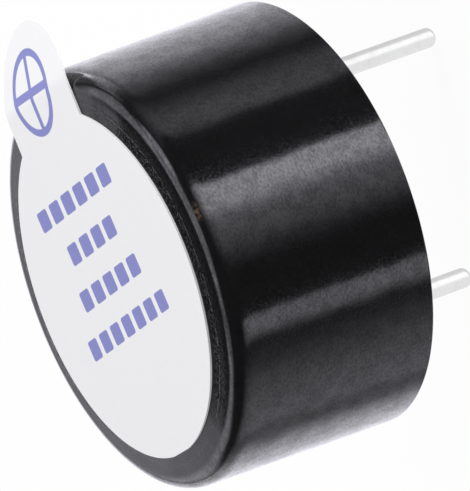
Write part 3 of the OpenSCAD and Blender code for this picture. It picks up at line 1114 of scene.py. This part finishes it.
class InnerUnit:
    """The pieces inside the housing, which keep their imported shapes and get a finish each."""

    ACROSS = (700.0, 9000.0, 9000.0)
    EVEN = (3000.0, 3000.0, 3000.0)
    METALS = {
        "spring_steel": ((0.62, 0.63, 0.65, 1), (0.48, 0.48, 0.49, 1), Sheen.BRIGHT, ACROSS),
        "plain_steel": ((0.56, 0.56, 0.58, 1), (0.4, 0.4, 0.41, 1), Sheen.SATIN, ACROSS),
        "copper_foil": ((0.72, 0.36, 0.2, 1), (0.46, 0.2, 0.11, 1), Sheen.SATIN),
        "tinned_lead": ((0.78, 0.78, 0.79, 1), (0.62, 0.62, 0.63, 1), Sheen.SATIN),
        "solder": ((0.66, 0.66, 0.68, 1), (0.45, 0.45, 0.46, 1), Sheen.DULL, EVEN),
    }
    SOLIDS = {
        "frame_plastic": ((0.74, 0.71, 0.62, 1), (0.64, 0.6, 0.5, 1), (0.55, 0.5, 0.4, 1), Sheen.DULL),
        "ferrite": ((0.07, 0.065, 0.064, 1), (0.045, 0.042, 0.042, 1), (0.12, 0.115, 0.11, 1),
                    Sheen.MATT, 0.1, 0.08, 0.6, 0.01),
        "laminate": ((0.56, 0.42, 0.18, 1), (0.42, 0.3, 0.11, 1), (0.3, 0.2, 0.08, 1), Sheen.DULL),
        "moulded_epoxy": ((0.03, 0.03, 0.032, 1), (0.02, 0.02, 0.022, 1), (0.06, 0.06, 0.06, 1),
                          Sheen.MATT, 0.06),
        "chip_ceramic": ((0.05, 0.05, 0.055, 1), (0.03, 0.03, 0.033, 1), (0.09, 0.09, 0.09, 1),
                         Sheen.SATIN, 0.06),
        "potting": ((0.016, 0.016, 0.017, 1), (0.01, 0.01, 0.011, 1), (0.004, 0.004, 0.004, 1),
                    Sheen.SATIN, 0.9, 0.2, 0.72, 0.03),
    }
    NODES = {
        "spring_steel": ["diaphragm"],
        "plain_steel": ["diaphragm_weight", "yoke_plate", "pole_core"],
        "frame_plastic": ["support_ring", "bobbin"],
        "ferrite": ["ring_magnet"],
        "copper_wire": ["drive_coil", "feedback_coil"],
        "laminate": ["circuit_board"],
        "copper_foil": ["copper_tracks"],
        "moulded_epoxy": ["transistor_body"],
        "tinned_lead": ["transistor_leads", "resistor_caps"],
        "chip_ceramic": ["resistor_body"],
        "solder": [
            "positive_solder", "negative_solder", "supply_solder", "collector_solder", "feedback_solder",
        ],
        "potting": ["potting_resin"],
    }

    def __init__(self, effects: Effects) -> None:
        """Sets out every inner finish.

        Args:
            effects: the shared effects.
        """
        self.finishes: list[Finish] = [BareMetal(effects, name, *row) for name, row in self.METALS.items()]
        self.finishes.append(WoundWire(effects))
        self.finishes += [PlainSolid(effects, name, *row) for name, row in self.SOLIDS.items()]

    def dress(self, nodes: dict[str, Piece]) -> Material:
        """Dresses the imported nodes.

        Args:
            nodes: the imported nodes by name.

        Returns:
            The resin's material, which the rims on it share.
        """
        made = {finish.name: finish.make() for finish in self.finishes}
        for finish, wearers in self.NODES.items():
            for node in wearers:
                dress(nodes[node], made[finish])
                LOG.info("%s: %s", node, finish)
        return made["potting"]


# Studio


@dataclass(frozen=True)
class StudioPanel:
    """A panel that shows in reflections, by bearings from the photograph's own zero, in degrees."""

    middle: float
    half: float
    before: float
    after: float
    top: float
    fade: float
    level: float
    low: float = -90.0


@dataclass(frozen=True)
class RoundPanel:
    """A round panel that shows in reflections, by the bearing and height of its middle, in degrees."""

    bearing: float
    height: float
    outer: float
    inner: float
    level: float


@dataclass
class Studio:
    """The plain studio: a pale floor at the pins' ends, soft light, panels for reflections and the camera."""

    effects: Effects
    tilt: float = 63.842
    roll: float = 19.857
    turn: float = 5.5
    pixels_per_mm: float = 37.415
    top_pixel: tuple = (116.29, 283.94)
    top_z: float = 6.22
    focal_pixels: float = 10000.0
    sensor: float = 36.0
    clip: tuple = (0.01, 10.0)
    floor_z: float = -5.505
    floor_half: float = 400.0
    floor_colour: tuple = (0.86, 0.86, 0.86, 1.0)
    floor_pale: tuple = (0.88, 0.88, 0.88, 1.0)
    floor_grain: float = 900.0
    floor_lift: float = 0.93
    ambient: float = 0.84
    dark_room: float = 0.07
    white: tuple = (1.0, 1.0, 1.0, 1.0)
    gloss_tint: tuple = (0.985, 0.97, 1.06, 1.0)
    panels: tuple = (
        StudioPanel(85.0, 47.0, 36.0, 28.0, 16.0, 14.0, 1.12),
        StudioPanel(99.0, 21.0, 13.0, 22.0, 36.0, 6.0, 1.15, 16.0),
        StudioPanel(24.0, 4.0, 10.0, 12.0, 30.0, 6.0, 1.0, -8.0),
        StudioPanel(52.0, 8.0, 10.0, 12.0, 28.0, 4.0, 0.3, 8.0),
        StudioPanel(78.0, 48.0, 14.0, 26.0, 64.0, 6.0, 1.35, 36.0),
        StudioPanel(44.0, 7.0, 6.0, 10.0, 7.0, 4.0, 3.4, -3.0),
        StudioPanel(172.0, 6.0, 18.0, 44.0, 20.0, 30.0, 0.76),
        StudioPanel(-133.0, 3.0, 9.0, 1.5, 5.0, 25.0, 1.7),
        StudioPanel(-68.0, 10.0, 27.0, 2.0, 45.0, 65.0, 1.2),
        StudioPanel(-62.0, 4.0, 13.0, 2.0, 40.0, 62.0, 3.3),
        StudioPanel(-21.0, 2.0, 5.0, 24.0, 60.0, 90.0, 0.74),
    )
    round_panels: tuple = (
        RoundPanel(45.0, 76.0, 24.0, 14.0, 1.6),
        RoundPanel(-2.0, 56.0, 15.0, 5.0, 2.8),
        RoundPanel(135.0, 68.0, 16.0, 8.0, 0.8),
    )
    dark_window: RoundPanel = RoundPanel(89.0, 48.0, 18.5, 13.5, 1.0)
    key_way: tuple = (0.85, -0.35, 0.4)
    key_far: float = 160.0
    key_size: float = 90.0
    key_power: float = 0.148
    card_r: float = 1.9
    card_span: tuple = (-0.3, -6.6)
    card_levels: tuple = (0.66, 1.1, 0.82)
    card_turns: tuple = (-95.0, -35.0, 85.0)
    card_soft: float = 12.0
    card_steps: int = 96

    def build(self) -> None:
        """Sets up the whole studio."""
        bpy.context.scene.view_settings.view_transform = "Standard"
        self._world()
        self._floor()
        self._pin_cards()
        self._key()
        self._camera()

    def _world(self) -> None:
        """Lights everything evenly, shows white to the camera and the panels to glossy rays."""
        world = bpy.data.worlds.new("studio")
        bpy.context.scene.world = world
        s = NodeSketch(emptied(world))
        way = s.node("ShaderNodeTexCoord").outputs["Generated"]
        x, y, z = s.parts(way)
        bearing = s.math("ARCTAN2", y, x)
        height = s.math("ARCSINE", z)
        seen: Value = 0.0
        for panel in self.panels:
            light = s.effect(
                self.effects.panel, "Light", Bearing=bearing, Height=height,
                Middle=math.radians(panel.middle - self.turn), Half=math.radians(panel.half),
                Before=math.radians(panel.before), After=math.radians(panel.after),
                Low=math.radians(panel.low), Top=math.radians(panel.top), Fade=math.radians(panel.fade),
                Level=panel.level,
            )
            seen = s.math("ADD", light, seen)
        for panel in self.round_panels:
            seen = s.math("ADD", self._round_light(s, way, panel), seen)
        seen = s.times(seen, s.rest(self._round_light(s, way, self.dark_window)))
        seen = s.math("ADD", seen, self.dark_room)
        white = self._seen_directly(s)
        glossy = s.node("ShaderNodeLightPath").outputs[Ray.GLOSSY.value]
        plain = s.times(s.rest(s.math("MAXIMUM", white, glossy)), self.ambient)
        shown = s.add_share(glossy, seen, s.math("ADD", white, plain))
        light = s.node("ShaderNodeBackground", s.blend(glossy, self.white, self.gloss_tint), shown)
        s.node("ShaderNodeOutputWorld", light.outputs[0])

    def _round_light(self, sketch: NodeSketch, way: Socket, panel: RoundPanel) -> Socket:
        """Light of one round panel.

        Args:
            sketch: the world's tree.
            way: the direction that a ray looks in.
            panel: the panel.

        Returns:
            The socket of its light.
        """
        turn = math.radians(panel.bearing - self.turn)
        rise = math.radians(panel.height)
        towards = math.cos(turn) * math.cos(rise), math.sin(turn) * math.cos(rise), math.sin(rise)
        return sketch.effect(
            self.effects.round_panel, "Light", Way=way, Towards=towards,
            Outer=math.cos(math.radians(panel.outer)), Inner=math.cos(math.radians(panel.inner)),
            Level=panel.level,
        )

    @staticmethod
    def _seen_directly(sketch: NodeSketch) -> Socket:
        """Socket that is one for rays from the camera, also where they have passed through something."""
        rays = sketch.node("ShaderNodeLightPath").outputs
        return sketch.math("MAXIMUM", rays[Ray.CAMERA.value], rays[Ray.TRANSMISSION.value])

    @staticmethod
    def _prop(name: str, points: np.ndarray, faces: list) -> Piece:
        """Makes a piece of the studio.

        Args:
            name: its name.
            points: its points in millimetres, one in each row.
            faces: point numbers of each face.

        Returns:
            The piece's object.
        """
        mesh = bpy.data.meshes.new(name)
        mesh.from_pydata((points * MM).tolist(), [], faces)
        return add_object(name, mesh)

    def _floor(self) -> None:
        """Lays a large pale floor that stays near white to the camera and still takes a faint shadow."""
        half = self.floor_half
        corners = np.array([[-half, -half], [half, -half], [half, half], [-half, half]])
        points = np.concatenate([corners, np.full((4, 1), self.floor_z)], axis=1)
        floor = self._prop("floor", points, [[0, 1, 2, 3]])
        floor.visible_glossy = False
        material = bpy.data.materials.new("floor_paper")
        s = NodeSketch(emptied(material))
        grain = s.noise(s.node("ShaderNodeTexCoord").outputs["Object"], self.floor_grain)
        paper = s.node("ShaderNodeBsdfDiffuse", s.blend(grain, self.floor_colour, self.floor_pale))
        glow = s.node("ShaderNodeEmission")
        lift = s.times(self._seen_directly(s), self.floor_lift)
        mixed = s.node("ShaderNodeMixShader", lift, paper.outputs[0], glow.outputs[0])
        s.node("ShaderNodeOutputMaterial", mixed.outputs[0])
        dress(floor, material)

    def _pin_cards(self) -> None:
        """Stands a pale sleeve round each pin that only reflections see, so that the wire mirrors white.

        The level on a sleeve depends on the bearing from its pin alone: grey towards the tab, white
        towards the front and pale on the far side, with a smooth change between them.
        """
        steps = self.card_steps
        first, second, third = self.card_turns
        off = (np.linspace(0.0, 360.0, steps, endpoint=False) - first) % 360.0
        edges = (0.0, second - first, third - first, 360.0)
        half = self.card_soft / 2
        knots = np.concatenate([[edge - half, edge + half] for edge in edges])
        grey, white, pale = self.card_levels
        around = np.interp(off, knots, [pale, white, white, grey, grey, pale, pale, white])
        top, foot = self.card_span
        profile = np.array([[self.card_r, top], [self.card_r, foot], [0.0, foot]])
        sleeves = [turn_profile(profile, (side * PinPair.pitch / 2, 0.0), steps) for side in (1, -1)]
        rows = len(profile)
        quads = grid_quads(rows, steps, False)
        faces = np.concatenate([quads, quads + rows * steps])
        cards = self._prop("pin_cards", np.concatenate(sleeves).reshape(-1, 3), faces.tolist())
        level = cards.data.attributes.new("level", "FLOAT", "POINT")
        level.data.foreach_set("value", np.tile(around, 2 * rows).astype(np.float32))
        cards.visible_camera = False
        cards.visible_diffuse = False
        cards.visible_shadow = False
        cards.visible_transmission = False
        material = bpy.data.materials.new("card_white")
        s = NodeSketch(emptied(material))
        strength = s.node("ShaderNodeAttribute", attribute_name="level").outputs["Fac"]
        glow = s.feed(s.node("ShaderNodeEmission"), Strength=strength)
        s.node("ShaderNodeOutputMaterial", glow.outputs[0])
        dress(cards, material)

    def _key(self) -> None:
        """Hangs one broad soft lamp above the tab's side, which stays out of reflections."""
        lamp = bpy.data.lights.new("soft_key", "AREA")
        lamp.shape = "DISK"
        lamp.size = self.key_size * MM
        lamp.energy = self.key_power
        holder = add_object("soft_key", lamp)
        way = Vector(self.key_way).normalized()
        holder.location = way * self.key_far * MM
        holder.rotation_euler = way.to_track_quat("Z", "Y").to_euler()
        holder.visible_glossy = False

    def _camera(self) -> None:
        """Sets the camera by the tilt, roll and turn of the case's axes in the picture.

        The case's three axes are written in the camera's own axes, to the right, down and away. They
        are the columns of a turn, and its transpose gives the camera's axes in the part's frame.
        """
        tilt, roll, turn = (math.radians(v) for v in (self.tilt, self.roll, self.turn))
        level = Vector((-math.sin(roll), -math.cos(roll), 0.0))
        up = Vector((-math.sin(tilt) * math.cos(roll), math.sin(tilt) * math.sin(roll), -math.cos(tilt)))
        away = up.cross(level)
        along = level * math.cos(turn) + away * math.sin(turn)
        side = away * math.cos(turn) - level * math.sin(turn)
        axes = Matrix((along, side, up)).transposed()
        right = self.top_pixel[0] - IMAGE_WIDTH / 2
        down = self.top_pixel[1] - IMAGE_HEIGHT / 2
        top = Vector((right, down, self.focal_pixels)) / self.pixels_per_mm
        spot = Vector((AXIS_X, 0.0, self.top_z)) - axes.transposed() @ top
        camera = bpy.data.cameras.new("photo_camera")
        camera.sensor_width = self.sensor
        camera.lens = self.sensor * self.focal_pixels / max(IMAGE_WIDTH, IMAGE_HEIGHT)
        camera.clip_start, camera.clip_end = self.clip
        holder = add_object("photo_camera", camera)
        turned = (axes.transposed() @ Matrix.Diagonal((1.0, -1.0, -1.0))).to_4x4()
        turned.translation = spot * MM
        holder.matrix_world = turned
        bpy.context.scene.camera = holder


def main() -> None:
    """Builds the studio, dresses the inner pieces and makes the outer ones."""
    logging.basicConfig(level=logging.INFO, format="%(name)s %(message)s")
    effects = Effects()
    Studio(effects).build()
    resin = InnerUnit(effects).dress(frame["nodes"])
    HousingPiece().build(MouldedBlack(effects).make())
    SealSheet().build(PrintedSheet(effects).make())
    tin = BareMetal(effects, "tinned_wire", (0.93, 0.93, 0.935, 1), (0.84, 0.84, 0.85, 1), Sheen.SATIN)
    PinPair().build(tin.make())
    CastBase().build(resin)


if __name__ == "__main__":
    main()
